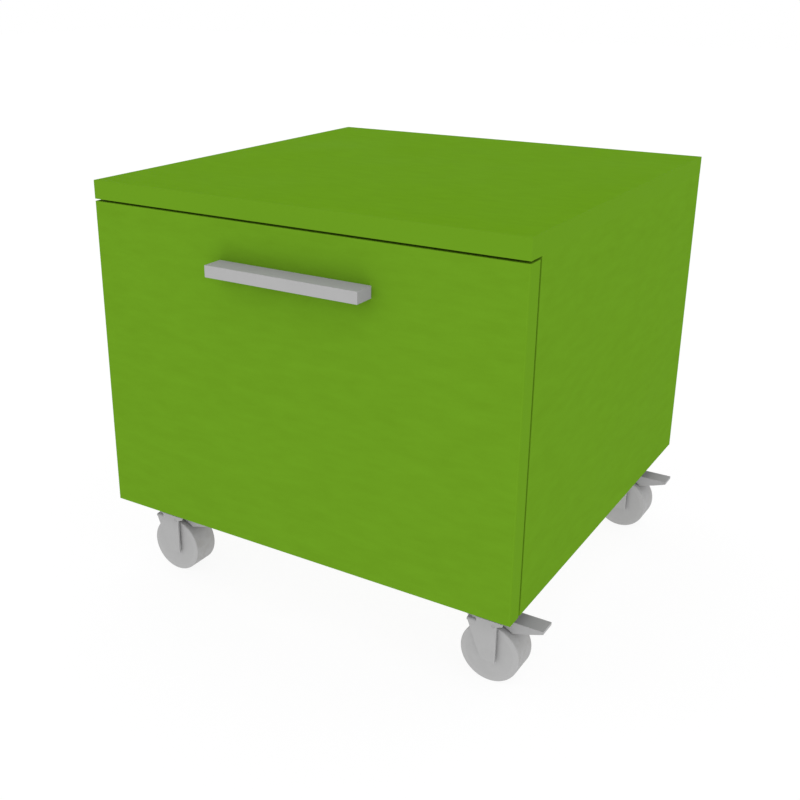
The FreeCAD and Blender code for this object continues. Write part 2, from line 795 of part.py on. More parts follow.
def brake_pedal():
    """The pedal: pin stubs in the fork's ears, a shoe over the tyre and a flat toe plate."""
    axle_z = underside_z - axle_drop
    top = underside_z - pedal_top_drop
    pin = vector(trail + pedal_pin_x, 0, underside_z - pedal_pin_drop)
    shoe_radius = wheel_radius + pedal_shoe_gap
    half = pedal_width / 2

    def on_shoe(x):
        return vector(trail + x, -half, axle_z + math.sqrt(shoe_radius ** 2 - x ** 2))

    root_x = pedal_pin_x + pedal_hub_radius / 2
    root_top = vector(trail + root_x, -half, top)
    tip_top = vector(trail + pedal_reach, -half, top)
    tip_under = vector(trail + pedal_reach, -half, top - pedal_tip)
    knee = vector(trail + pedal_knee_x, -half, top - pedal_knee_height)
    shoe_mid = on_shoe((root_x + pedal_shoe_x) / 2)
    outline = [
        Part.LineSegment(root_top, tip_top).toShape(),
        Part.LineSegment(tip_top, tip_under).toShape(),
        Part.LineSegment(tip_under, knee).toShape(),
        Part.LineSegment(knee, on_shoe(pedal_shoe_x)).toShape(),
        Part.Arc(on_shoe(pedal_shoe_x), shoe_mid, on_shoe(root_x)).toShape(),
        Part.LineSegment(on_shoe(root_x), root_top).toShape(),
    ]
    body = Part.Face(Part.Wire(outline)).extrude(vector(0, pedal_width, 0))
    hub = rod(pedal_hub_radius, pin - vector(0, half, 0), pin + vector(0, half, 0))
    stub = leg_outer_y - axle_play
    pins = rod(pedal_pin_radius, pin - vector(0, stub, 0), pin + vector(0, stub, 0))
    return body.fuse(hub).fuse(pins).removeSplitter()


def casters():
    """Four equal casters, all trailing to the right."""
    plates, kingpins, balls, screws = [], [], [], []
    core, tyre = caster_wheel()
    moving = {
        "fork": caster_fork(),
        "axle": caster_axle(),
        "wheel": core,
        "tyre": tyre,
        "brake_pedal": brake_pedal(),
    }
    plate = caster_plate()
    for name, axis in caster_places():
        plates.append(plate.translated(axis))
        kingpins.append(kingpin().translated(axis))
        balls += [ball.translated(axis) for ball in swivel_ball_ring()]
        screws += plate_screws(axis)
        for piece, shape in moving.items():
            save(name + "_caster_" + piece, shape.translated(axis))
    save("caster_plates", *plates)
    save("caster_kingpins", *kingpins)
    save("caster_swivel_balls", *balls)
    save("caster_screws", *screws)


os.makedirs("parts", exist_ok=True)
carcass()
drawer_box(drawer_front())
slides()
casters()
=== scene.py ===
import json
import math

import bpy
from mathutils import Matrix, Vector


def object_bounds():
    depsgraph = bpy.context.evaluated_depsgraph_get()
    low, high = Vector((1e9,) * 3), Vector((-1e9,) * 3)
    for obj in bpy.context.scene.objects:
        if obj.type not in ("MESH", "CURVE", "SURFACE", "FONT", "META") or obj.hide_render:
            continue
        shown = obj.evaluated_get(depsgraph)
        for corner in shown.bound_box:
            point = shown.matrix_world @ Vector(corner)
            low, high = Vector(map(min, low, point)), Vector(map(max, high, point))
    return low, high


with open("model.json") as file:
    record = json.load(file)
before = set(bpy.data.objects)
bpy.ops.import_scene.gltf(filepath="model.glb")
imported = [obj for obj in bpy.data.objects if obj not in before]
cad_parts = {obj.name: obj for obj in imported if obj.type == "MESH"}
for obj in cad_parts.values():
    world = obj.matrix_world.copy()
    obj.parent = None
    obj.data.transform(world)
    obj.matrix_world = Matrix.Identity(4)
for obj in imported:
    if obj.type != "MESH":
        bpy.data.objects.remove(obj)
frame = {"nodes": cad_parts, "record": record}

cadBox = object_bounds()
print("frame loaded:", len(frame["nodes"]), "nodes")

mm = 0.001  # pattern sizes are in millimetres, Blender counts in metres
mixBy, mixA, mixB, mixOut = 0, 6, 7, 2  # sockets of a Mix node set to colours
noiseRange = {"From Min": 0.25, "From Max": 0.75}  # this part of a noise is spread over the range
nearSamples = 8  # rays that feel for edges and neighbours


def linear(hexColour):
    # sRGB hex to the linear colour that a shader takes
    parts = [int(hexColour[i : i + 2], 16) / 255 for i in (0, 2, 4)]
    return [p / 12.92 if p <= 0.04045 else ((p + 0.055) / 1.055) ** 2.4 for p in parts] + [1.0]


def perMetre(*lengthsMm):
    # a pattern's scale from its real length: one number, or one for each axis
    scales = [1 / (length * mm) for length in lengthsMm]
    return scales if len(scales) > 1 else scales[0]


def addNode(owner, kind, inputs=None, **settings):
    # one node of a material or of the world; each input is a value or another node's output
    node = owner.node_tree.nodes.new("ShaderNode" + kind)
    for name, value in settings.items():
        setattr(node, name, value)
    for socket, value in (inputs or {}).items():
        if isinstance(value, bpy.types.NodeSocket):
            owner.node_tree.links.new(value, node.inputs[socket])
        else:
            node.inputs[socket].default_value = value
    return node.outputs


def emptyMaterial(name):
    material = bpy.data.materials.new(name)
    material.use_nodes = True
    material.node_tree.nodes.clear()
    return material


# cosine between the softened and the true normal: 1 on a flat stretch, less near an edge
edgeTurn = {"From Min": 0.99, "From Max": 0.8}
rubbedPatches = {"From Min": 0.4, "From Max": 0.7}  # untouched below the first, fully rubbed above


def rubbedEdges(material, reachMm, patchMm, most):
    # 0 on flat stretches, up to the given share close to an edge, in patches along it
    softened = addNode(material, "Bevel", {"Radius": reachMm * mm}, samples=nearSamples)["Normal"]
    flat = addNode(material, "NewGeometry")["Normal"]
    turn = addNode(material, "VectorMath", {0: softened, 1: flat}, operation="DOT_PRODUCT")["Value"]
    nearEdge = addNode(material, "MapRange", {"Value": turn, **edgeTurn})["Result"]
    here = addNode(material, "TexCoord")["Object"]
    noise = addNode(material, "TexNoise", {"Vector": here, "Scale": perMetre(patchMm)})["Fac"]
    patches = addNode(material, "MapRange", {"Value": noise, **rubbedPatches, "To Max": most})["Result"]
    return addNode(material, "Math", {0: nearEdge, 1: patches}, operation="MULTIPLY")["Value"]


def paintedShadeNearOthers(material, colour, paintedShadeColour, reachMm):
    # painted shade: the colour in the open, turning to the darker painted-shade colour near a corner or
    # another piece, where shade falls
    reach = reachMm * mm
    openness = addNode(material, "AmbientOcclusion", {"Distance": reach}, samples=nearSamples)["AO"]
    colours = {mixBy: openness, mixA: linear(paintedShadeColour), mixB: colour}
    return addNode(material, "Mix", colours, data_type="RGBA")[mixOut]


boardGreen = {
    "green": "6d9e22",
    "darkerGreen": "69981f",
    "topGreen": "6c9e1a",  # painted less blue, against the white room that the top mirrors a little at a flat angle
    "topDarkerGreen": "679817",
    "rubbedGreen": "73a428",
    # painted shade: the darker green put in corners and round the pull, where shade falls
    "paintedShadeGreen": "5d861d",
    "castGrey": "909090",  # as bright as the green, for the light that the boards throw on
    "paintedShadeReachMm": 20.0,  # how near a corner or another piece the painted shade on the board starts
    "cloudLongMm": 26.0,  # the printed clouds are drawn out along the board
    "cloudShortMm": 7.0,
    "pearlMm": 1.6,  # the press plate's pearls are 0.4 mm; drawn coarser so that they show
    "pearlDepthMm": 0.035,
    "glossMm": 90.0,  # wide patches, some a little smoother and some duller
    "dullest": 0.62,
    "smoothest": 0.5,
    "rubReachMm": 1.2,
    "rubPatchMm": 30.0,
    "rubShare": 0.5,
    "sheen": 0.001,  # dead matt, with next to no mirror reflection
}


def untintedCast(material, colour):
    # light thrown on by the boards stays neutral, so that the greys beside them aren't tinted green
    thrownOn = addNode(material, "LightPath")["Is Diffuse Ray"]
    colours = {mixBy: thrownOn, mixA: colour, mixB: linear(boardGreen["castGrey"])}
    return addNode(material, "Mix", colours, data_type="RGBA")[mixOut]


def makePearledMelamine(name, longAxes, green, darkerGreen):
    # melamine-faced board: a matt, even printed green with faint clouds along the board, darkened
    # by painted shade in corners and round the pull, and pressed with a fine pearl
    material = emptyMaterial(name)
    here = addNode(material, "TexCoord")["Object"]
    lengths = [boardGreen["cloudLongMm" if axis in longAxes else "cloudShortMm"] for axis in "xyz"]
    drawnOut = addNode(material, "Mapping", {"Vector": here, "Scale": perMetre(*lengths)})["Vector"]
    noise = addNode(
        material, "TexNoise", {"Vector": drawnOut, "Scale": 1.0, "Detail": 3.0, "Roughness": 0.6}
    )["Fac"]
    clouds = addNode(material, "MapRange", {"Value": noise, **noiseRange})["Result"]
    greens = {mixBy: clouds, mixA: linear(green), mixB: linear(darkerGreen)}
    printed = addNode(material, "Mix", greens, data_type="RGBA")[mixOut]
    rubbed = rubbedEdges(
        material, boardGreen["rubReachMm"], boardGreen["rubPatchMm"], boardGreen["rubShare"]
    )
    colours = {mixBy: rubbed, mixA: printed, mixB: linear(boardGreen["rubbedGreen"])}
    colour = addNode(material, "Mix", colours, data_type="RGBA")[mixOut]
    # painted shade in corners and round the pull
    colour = paintedShadeNearOthers(material, colour, boardGreen["paintedShadeGreen"], boardGreen["paintedShadeReachMm"])
    colour = untintedCast(material, colour)
    gloss = addNode(
        material, "TexNoise", {"Vector": here, "Scale": perMetre(boardGreen["glossMm"])}
    )["Fac"]
    shine = {"To Min": boardGreen["smoothest"], "To Max": boardGreen["dullest"]}
    roughness = addNode(material, "MapRange", {"Value": gloss, **noiseRange, **shine})["Result"]
    pearls = addNode(
        material, "TexVoronoi", {"Vector": here, "Scale": perMetre(boardGreen["pearlMm"])}
    )["Distance"]
    relief = addNode(
        material, "Bump", {"Height": pearls, "Distance": boardGreen["pearlDepthMm"] * mm}, invert=True
    )["Normal"]
    surface = addNode(
        material,
        "BsdfPrincipled",
        {
            "Base Color": colour,
            "Roughness": roughness,
            "IOR": 1.5,
            "Specular IOR Level": boardGreen["sheen"],
            "Normal": relief,
        },
    )["BSDF"]
    addNode(material, "OutputMaterial", {"Surface": surface})
    return material


edgeBand = {
    "green": "6c9c21",
    "darkerGreen": "6a9a20",
    "trimmedGreen": "76a62c",
    "batchMm": 60.0,
    "dieLineMm": 0.8,  # lines of the extrusion die, from side to side; drawn coarse so that they show
    "dieLineLongMm": 40.0,
    "dieLineDepthMm": 0.02,
    "waxMm": 14.0,
    "smoothest": 0.4,
    "dullest": 0.6,
    "rubReachMm": 0.9,
    "rubPatchMm": 22.0,
    "rubShare": 0.6,
}


def makeExtrudedAbs(name):
    # extruded ABS band dyed through to match the board, glued flush: smoother than the board,
    # with faint die lines, and a little paler along its trimmed edges
    material = emptyMaterial(name)
    here = addNode(material, "TexCoord")["Object"]
    batch = addNode(
        material, "TexNoise", {"Vector": here, "Scale": perMetre(edgeBand["batchMm"])}
    )["Fac"]
    greens = {mixBy: batch, mixA: linear(edgeBand["green"]), mixB: linear(edgeBand["darkerGreen"])}
    dyed = addNode(material, "Mix", greens, data_type="RGBA")[mixOut]
    rubbed = rubbedEdges(material, edgeBand["rubReachMm"], edgeBand["rubPatchMm"], edgeBand["rubShare"])
    colours = {mixBy: rubbed, mixA: dyed, mixB: linear(edgeBand["trimmedGreen"])}
    colour = untintedCast(material, addNode(material, "Mix", colours, data_type="RGBA")[mixOut])
    wax = addNode(material, "TexNoise", {"Vector": here, "Scale": perMetre(edgeBand["waxMm"])})["Fac"]
    shine = {"To Min": edgeBand["smoothest"], "To Max": edgeBand["dullest"]}
    roughness = addNode(material, "MapRange", {"Value": wax, **shine})["Result"]
    dieLine = edgeBand["dieLineMm"]
    lengths = edgeBand["dieLineLongMm"], dieLine, dieLine
    drawn = addNode(material, "Mapping", {"Vector": here, "Scale": perMetre(*lengths)})["Vector"]
    lines = addNode(material, "TexNoise", {"Vector": drawn, "Scale": 1.0, "Detail": 0.0})["Fac"]
    relief = addNode(
        material, "Bump", {"Height": lines, "Distance": edgeBand["dieLineDepthMm"] * mm}
    )["Normal"]
    surface = addNode(
        material,
        "BsdfPrincipled",
        {
            "Base Color": colour,
            "Roughness": roughness,
            "IOR": 1.53,
            "Specular IOR Level": boardGreen["sheen"],
            "Normal": relief,
        },
    )["BSDF"]
    addNode(material, "OutputMaterial", {"Surface": surface})
    return material


boxWhite = {
    "white": "deded8",
    "scuffed": "d0cfc8",
    "scuffMm": 45.0,
    "wipedMm": 18.0,
    "speckMm": 2.2,  # the press plate's texture, drawn at five times its size so that it shows
    "speckDepthMm": 0.03,
    "smoothest": 0.35,
    "dullest": 0.65,
}


def makePressedMelamine(name):
    # plain white melamine of a drawer box: flat, matt and a touch warm, with faint scuffs
    material = emptyMaterial(name)
    here = addNode(material, "TexCoord")["Object"]
    scuffs = addNode(
        material, "TexNoise", {"Vector": here, "Scale": perMetre(boxWhite["scuffMm"]), "Detail": 5.0}
    )["Fac"]
    whites = {mixBy: scuffs, mixA: linear(boxWhite["white"]), mixB: linear(boxWhite["scuffed"])}
    colour = addNode(material, "Mix", whites, data_type="RGBA")[mixOut]
    wiped = addNode(
        material, "TexNoise", {"Vector": here, "Scale": perMetre(boxWhite["wipedMm"])}
    )["Fac"]
    shine = {"To Min": boxWhite["smoothest"], "To Max": boxWhite["dullest"]}
    roughness = addNode(material, "MapRange", {"Value": wiped, **shine})["Result"]
    specks = addNode(
        material, "TexVoronoi", {"Vector": here, "Scale": perMetre(boxWhite["speckMm"])}
    )["Distance"]
    relief = addNode(
        material, "Bump", {"Height": specks, "Distance": boxWhite["speckDepthMm"] * mm}
    )["Normal"]
    surface = addNode(
        material,
        "BsdfPrincipled",
        {"Base Color": colour, "Roughness": roughness, "IOR": 1.5, "Normal": relief},
    )["BSDF"]
    addNode(material, "OutputMaterial", {"Surface": surface})
    return material


drawerBase = {
    "lacquer": "dddcd5",
    "fibre": "c8c6bc",
    "fibreLongMm": 12.0,
    "fibreWideMm": 1.6,  # fibres are 0.1 mm thick; drawn as the bundles that print through
    "fibreDepthMm": 0.04,
    "smoothest": 0.4,
    "dullest": 0.65,
}


def makeLacqueredHardboard(name):
    # white-lacquered hardboard: the fibres print faintly through the lacquer
    material = emptyMaterial(name)
    here = addNode(material, "TexCoord")["Object"]
    wide = drawerBase["fibreWideMm"]
    laid = addNode(
        material, "Mapping", {"Vector": here, "Scale": perMetre(drawerBase["fibreLongMm"], wide, wide)}
    )["Vector"]
    fibres = addNode(
        material,
        "TexNoise",
        {"Vector": laid, "Scale": 1.0, "Detail": 5.0, "Roughness": 0.7, "Distortion": 0.4},
    )["Fac"]
    whites = {mixBy: fibres, mixA: linear(drawerBase["lacquer"]), mixB: linear(drawerBase["fibre"])}
    colour = addNode(material, "Mix", whites, data_type="RGBA")[mixOut]
    shine = {"To Min": drawerBase["smoothest"], "To Max": drawerBase["dullest"]}
    roughness = addNode(material, "MapRange", {"Value": fibres, **shine})["Result"]
    relief = addNode(
        material, "Bump", {"Height": fibres, "Distance": drawerBase["fibreDepthMm"] * mm}
    )["Normal"]
    surface = addNode(
        material,
        "BsdfPrincipled",
        {"Base Color": colour, "Roughness": roughness, "IOR": 1.5, "Normal": relief},
    )["BSDF"]
    addNode(material, "OutputMaterial", {"Surface": surface})
    return material


dowelBeech = {
    "early": "e0c196",
    "late": "b1864f",
    "rayLongMm": 9.0,
    "rayWideMm": 0.8,
    "rayDepthMm": 0.08,
    "smoothest": 0.5,
    "dullest": 0.8,
}


def makeTurnedBeech(name):
    # turned beech dowel: pale straw-coloured wood with short darker rays
    material = emptyMaterial(name)
    here = addNode(material, "TexCoord")["Object"]
    wide = dowelBeech["rayWideMm"]
    along = addNode(
        material, "Mapping", {"Vector": here, "Scale": perMetre(dowelBeech["rayLongMm"], wide, wide)}
    )["Vector"]
    rays = addNode(
        material, "TexNoise", {"Vector": along, "Scale": 1.0, "Detail": 4.0, "Roughness": 0.7}
    )["Fac"]
    woods = {mixBy: rays, mixA: linear(dowelBeech["early"]), mixB: linear(dowelBeech["late"])}
    colour = addNode(material, "Mix", woods, data_type="RGBA")[mixOut]
    shine = {"To Min": dowelBeech["smoothest"], "To Max": dowelBeech["dullest"]}
    roughness = addNode(material, "MapRange", {"Value": rays, **shine})["Result"]
    relief = addNode(
        material, "Bump", {"Height": rays, "Distance": dowelBeech["rayDepthMm"] * mm}
    )["Normal"]
    surface = addNode(
        material,
        "BsdfPrincipled",
        {"Base Color": colour, "Roughness": roughness, "IOR": 1.5, "Normal": relief},
    )["BSDF"]
    addNode(material, "OutputMaterial", {"Surface": surface})
    return material


slideSteel = {
    "bright": "c9cdd0",
    "dull": "a3a8ad",
    "cloudMm": 6.0,
    "rollLongMm": 60.0,
    "rollLineMm": 0.9,  # roll marks are 0.1 mm apart; drawn coarser so that they show
    "rollDepthMm": 0.015,
    "smoothest": 0.15,
    "dullest": 0.5,
}


def makeZincPlatedStrip(name):
    # cold-rolled steel strip, bright zinc plated: fine roll marks run along it, and the plating
    # clouds from bright to dull with a cool tint
    material = emptyMaterial(name)
    here = addNode(material, "TexCoord")["Object"]
    clouds = addNode(
        material, "TexNoise", {"Vector": here, "Scale": perMetre(slideSteel["cloudMm"]), "Detail": 4.0}
    )["Fac"]
    platings = {mixBy: clouds, mixA: linear(slideSteel["bright"]), mixB: linear(slideSteel["dull"])}
    colour = addNode(material, "Mix", platings, data_type="RGBA")[mixOut]
    line = slideSteel["rollLineMm"]
    rolled = addNode(
        material, "Mapping", {"Vector": here, "Scale": perMetre(line, slideSteel["rollLongMm"], line)}
    )["Vector"]
    marks = addNode(material, "TexNoise", {"Vector": rolled, "Scale": 1.0})["Fac"]
    shine = {"To Min": slideSteel["smoothest"], "To Max": slideSteel["dullest"]}
    roughness = addNode(material, "MapRange", {"Value": marks, **shine})["Result"]
    relief = addNode(
        material, "Bump", {"Height": marks, "Distance": slideSteel["rollDepthMm"] * mm}
    )["Normal"]
    surface = addNode(
        material,
        "BsdfPrincipled",
        {"Base Color": colour, "Metallic": 1.0, "Roughness": roughness, "Normal": relief},
    )["BSDF"]
    addNode(material, "OutputMaterial", {"Surface": surface})
    return material


screwSteel = {
    "plating": "d2d3cf",
    "stain": "a09e92",
    "toolMarkMm": 1.2,
    "markDepthMm": 0.03,
    "smoothest": 0.15,
    "dullest": 0.5,
}


def makeZincPlatedScrew(name):
    # zinc plated screw: small and bright, yellowed a little in patches, with tool marks
    material = emptyMaterial(name)
    here = addNode(material, "TexCoord")["Object"]
    marks = addNode(
        material,
        "TexNoise",
        {"Vector": here, "Scale": perMetre(screwSteel["toolMarkMm"]), "Detail": 4.0, "Roughness": 0.7},
    )["Fac"]
    platings = {mixBy: marks, mixA: linear(screwSteel["plating"]), mixB: linear(screwSteel["stain"])}
    colour = addNode(material, "Mix", platings, data_type="RGBA")[mixOut]
    shine = {"To Min": screwSteel["smoothest"], "To Max": screwSteel["dullest"]}
    roughness = addNode(material, "MapRange", {"Value": marks, **shine})["Result"]
    relief = addNode(
        material, "Bump", {"Height": marks, "Distance": screwSteel["markDepthMm"] * mm}
    )["Normal"]
    surface = addNode(
        material,
        "BsdfPrincipled",
        {"Base Color": colour, "Metallic": 1.0, "Roughness": roughness, "Normal": relief},
    )["BSDF"]
    addNode(material, "OutputMaterial", {"Surface": surface})
    return material


camZinc = {
    "skin": "a8a9a8",
    "flow": "858686",
    "skinMm": 1.0,
    "skinDepthMm": 0.04,
    "flowMm": 5.0,
    "smoothest": 0.4,
    "dullest": 0.7,
}


def makeDieCastZinc(name):
    # as-cast zinc cam: dull mid grey, with flow marks and the fine skin of the die
    material = emptyMaterial(name)
    here = addNode(material, "TexCoord")["Object"]
    flow = addNode(
        material, "TexNoise", {"Vector": here, "Scale": perMetre(camZinc["flowMm"]), "Distortion": 1.0}
    )["Fac"]
    greys = {mixBy: flow, mixA: linear(camZinc["skin"]), mixB: linear(camZinc["flow"])}
    colour = addNode(material, "Mix", greys, data_type="RGBA")[mixOut]
    skin = addNode(
        material, "TexNoise", {"Vector": here, "Scale": perMetre(camZinc["skinMm"]), "Detail": 4.0}
    )["Fac"]
    shine = {"To Min": camZinc["smoothest"], "To Max": camZinc["dullest"]}
    roughness = addNode(material, "MapRange", {"Value": skin, **shine})["Result"]
    relief = addNode(
        material, "Bump", {"Height": skin, "Distance": camZinc["skinDepthMm"] * mm}
    )["Normal"]
    surface = addNode(
        material,
        "BsdfPrincipled",
        {"Base Color": colour, "Metallic": 1.0, "Roughness": roughness, "Normal": relief},
    )["BSDF"]
    addNode(material, "OutputMaterial", {"Surface": surface})
    return material


ballSteel = {
    "steel": "d6d7d8",
    "greased": "b8b7ae",
    "filmMm": 1.5,
    "filmDepthMm": 0.004,
    "smoothest": 0.05,
    "dullest": 0.25,
}


def makePolishedBearingSteel(name):
    # ground and polished bearing steel: near mirror, under a thin film of grease
    material = emptyMaterial(name)
    here = addNode(material, "TexCoord")["Object"]
    film = addNode(
        material, "TexNoise", {"Vector": here, "Scale": perMetre(ballSteel["filmMm"])}
    )["Fac"]
    steels = {mixBy: film, mixA: linear(ballSteel["steel"]), mixB: linear(ballSteel["greased"])}
    colour = addNode(material, "Mix", steels, data_type="RGBA")[mixOut]
    shine = {"To Min": ballSteel["smoothest"], "To Max": ballSteel["dullest"]}
    roughness = addNode(material, "MapRange", {"Value": film, **shine})["Result"]
    relief = addNode(
        material, "Bump", {"Height": film, "Distance": ballSteel["filmDepthMm"] * mm}
    )["Normal"]
    surface = addNode(
        material,
        "BsdfPrincipled",
        {
            "Base Color": colour,
            "Metallic": 1.0,
            "Roughness": roughness,
            "Normal": relief,
            "Coat Weight": 0.25,
            "Coat Roughness": 0.3,
        },
    )["BSDF"]
    addNode(material, "OutputMaterial", {"Surface": surface})
    return material


cagePlastic = {
    "black": "2a2a2c",
    "greased": "3c3c3e",
    "filmMm": 3.0,
    "filmDepthMm": 0.02,
    "smoothest": 0.25,
    "dullest": 0.55,
}


def makeMouldedAcetal(name):
    # dark moulded acetal of the ball cages: waxy, and dulled where grease has dried on it
    material = emptyMaterial(name)
    here = addNode(material, "TexCoord")["Object"]
    film = addNode(
        material, "TexNoise", {"Vector": here, "Scale": perMetre(cagePlastic["filmMm"]), "Detail": 3.0}
    )["Fac"]
    darks = {mixBy: film, mixA: linear(cagePlastic["black"]), mixB: linear(cagePlastic["greased"])}
    colour = addNode(material, "Mix", darks, data_type="RGBA")[mixOut]
    shine = {"To Min": cagePlastic["smoothest"], "To Max": cagePlastic["dullest"]}
    roughness = addNode(material, "MapRange", {"Value": film, **shine})["Result"]
    relief = addNode(
        material, "Bump", {"Height": film, "Distance": cagePlastic["filmDepthMm"] * mm}
    )["Normal"]
    surface = addNode(
        material,
        "BsdfPrincipled",
        {"Base Color": colour, "Roughness": roughness, "IOR": 1.48, "Normal": relief},
    )["BSDF"]
    addNode(material, "OutputMaterial", {"Surface": surface})
    return material


bumperDot = {
    "pale": "d2d2ce",
    "dusty": "b8b7b0",
    "dustMm": 1.5,
    "dustDepthMm": 0.02,
    "smoothest": 0.15,
    "dullest": 0.5,
}


def makeCastPolyurethane(name):
    # soft polyurethane dot, pale and smooth, with dust in patches
    material = emptyMaterial(name)
    here = addNode(material, "TexCoord")["Object"]
    dust = addNode(
        material, "TexNoise", {"Vector": here, "Scale": perMetre(bumperDot["dustMm"]), "Detail": 4.0}
    )["Fac"]
    greys = {mixBy: dust, mixA: linear(bumperDot["pale"]), mixB: linear(bumperDot["dusty"])}
    colour = addNode(material, "Mix", greys, data_type="RGBA")[mixOut]
    shine = {"To Min": bumperDot["smoothest"], "To Max": bumperDot["dullest"]}
    roughness = addNode(material, "MapRange", {"Value": dust, **shine})["Result"]
    relief = addNode(
        material, "Bump", {"Height": dust, "Distance": bumperDot["dustDepthMm"] * mm}
    )["Normal"]
    surface = addNode(
        material,
        "BsdfPrincipled",
        {"Base Color": colour, "Roughness": roughness, "IOR": 1.5, "Normal": relief},
    )["BSDF"]
    addNode(material, "OutputMaterial", {"Surface": surface})
    return material


barPull = {
    "silver": "b3b3b3",
    "shade": "adadad",
    "worn": "bcbcbc",
    "toneMm": 22.0,
    "peelMm": 1.3,  # orange peel of the sprayed lacquer
    "peelDepthMm": 0.02,
    "polishedMm": 7.0,
    "smoothest": 0.28,
    "dullest": 0.52,
    "rubReachMm": 0.6,
    "rubPatchMm": 12.0,
    "rubShare": 0.9,
    "sheen": 0.15,  # the satin lacquer holds back most of its gloss
}


def makeSatinLacquer(name):
    # die-cast pull sprayed with satin silver-grey lacquer: fine orange peel, and a little paler
    # in patches along its corners
    material = emptyMaterial(name)
    here = addNode(material, "TexCoord")["Object"]
    tone = addNode(
        material, "TexNoise", {"Vector": here, "Scale": perMetre(barPull["toneMm"]), "Detail": 3.0}
    )["Fac"]
    greys = {mixBy: tone, mixA: linear(barPull["silver"]), mixB: linear(barPull["shade"])}
    sprayed = addNode(material, "Mix", greys, data_type="RGBA")[mixOut]
    rubbed = rubbedEdges(material, barPull["rubReachMm"], barPull["rubPatchMm"], barPull["rubShare"])
    colours = {mixBy: rubbed, mixA: sprayed, mixB: linear(barPull["worn"])}
    colour = addNode(material, "Mix", colours, data_type="RGBA")[mixOut]
    polished = addNode(
        material, "TexNoise", {"Vector": here, "Scale": perMetre(barPull["polishedMm"])}
    )["Fac"]
    shine = {"To Min": barPull["smoothest"], "To Max": barPull["dullest"]}
    roughness = addNode(material, "MapRange", {"Value": polished, **shine})["Result"]
    peel = addNode(material, "TexNoise", {"Vector": here, "Scale": perMetre(barPull["peelMm"])})["Fac"]
    relief = addNode(
        material, "Bump", {"Height": peel, "Distance": barPull["peelDepthMm"] * mm}
    )["Normal"]
    surface = addNode(
        material,
        "BsdfPrincipled",
        {
            "Base Color": colour,
            "Roughness": roughness,
            "IOR": 1.5,
            "Specular IOR Level": barPull["sheen"],
            "Normal": relief,
        },
    )["BSDF"]
    addNode(material, "OutputMaterial", {"Surface": surface})
    return material


casterGrey = {
    "grey": "b6b6b6",
    "shade": "b0b0b0",
    "chipped": "bdbdbd",
    "sheen": 0.15,  # the caster's grey finishes are all matt
    "rubReachMm": 0.6,
}

forkSteel = {
    "toneMm": 12.0,
    "chipMm": 5.0,
    "chipShare": 0.8,
    "glossMm": 5.0,
    "smoothest": 0.3,
    "dullest": 0.6,
    "peelMm": 1.4,
    "peelDepthMm": 0.03,
}


def makePowderCoatedSteel(name):
    # pressed steel, powder coated light grey: soft orange peel over the pressing, and paler
    # in patches along the sheared edges
    material = emptyMaterial(name)
    here = addNode(material, "TexCoord")["Object"]
    tone = addNode(
        material, "TexNoise", {"Vector": here, "Scale": perMetre(forkSteel["toneMm"]), "Detail": 3.0}
    )["Fac"]
    greys = {mixBy: tone, mixA: linear(casterGrey["grey"]), mixB: linear(casterGrey["shade"])}
    coated = addNode(material, "Mix", greys, data_type="RGBA")[mixOut]
    rubbed = rubbedEdges(material, casterGrey["rubReachMm"], forkSteel["chipMm"], forkSteel["chipShare"])
    colours = {mixBy: rubbed, mixA: coated, mixB: linear(casterGrey["chipped"])}
    colour = addNode(material, "Mix", colours, data_type="RGBA")[mixOut]
    gloss = addNode(
        material, "TexNoise", {"Vector": here, "Scale": perMetre(forkSteel["glossMm"])}
    )["Fac"]
    shine = {"To Min": forkSteel["smoothest"], "To Max": forkSteel["dullest"]}
    roughness = addNode(material, "MapRange", {"Value": gloss, **shine})["Result"]
    peel = addNode(
        material, "TexNoise", {"Vector": here, "Scale": perMetre(forkSteel["peelMm"])}
    )["Fac"]
    relief = addNode(
        material, "Bump", {"Height": peel, "Distance": forkSteel["peelDepthMm"] * mm}
    )["Normal"]
    surface = addNode(
        material,
        "BsdfPrincipled",
        {
            "Base Color": colour,
            "Roughness": roughness,
            "IOR": 1.5,
            "Specular IOR Level": casterGrey["sheen"],
            "Normal": relief,
        },
    )["BSDF"]
    addNode(material, "OutputMaterial", {"Surface": surface})
    return material


wheelNylon = {
    "flowMm": 10.0,
    "chipMm": 4.0,
    "chipShare": 0.5,
    "glossMm": 4.0,
    "smoothest": 0.4,
    "dullest": 0.66,
    "sparkMm": 0.9,  # the skin of the mould, drawn at three times its size so that it shows
    "sparkDepthMm": 0.025,
}
shadedPedalNylon = {  # a darker grey than the wheels: painted shade for the pedals' place under the cabinet
    "grey": "b3b3b3",
    "shade": "adadad",
    # painted shade: the darker grey put where the pedal sits close under the cabinet
    "paintedShadeGrey": "848484",
    "paintedShadeReachMm": 25.0,  # how near a corner or another piece the painted shade on a pedal starts
}


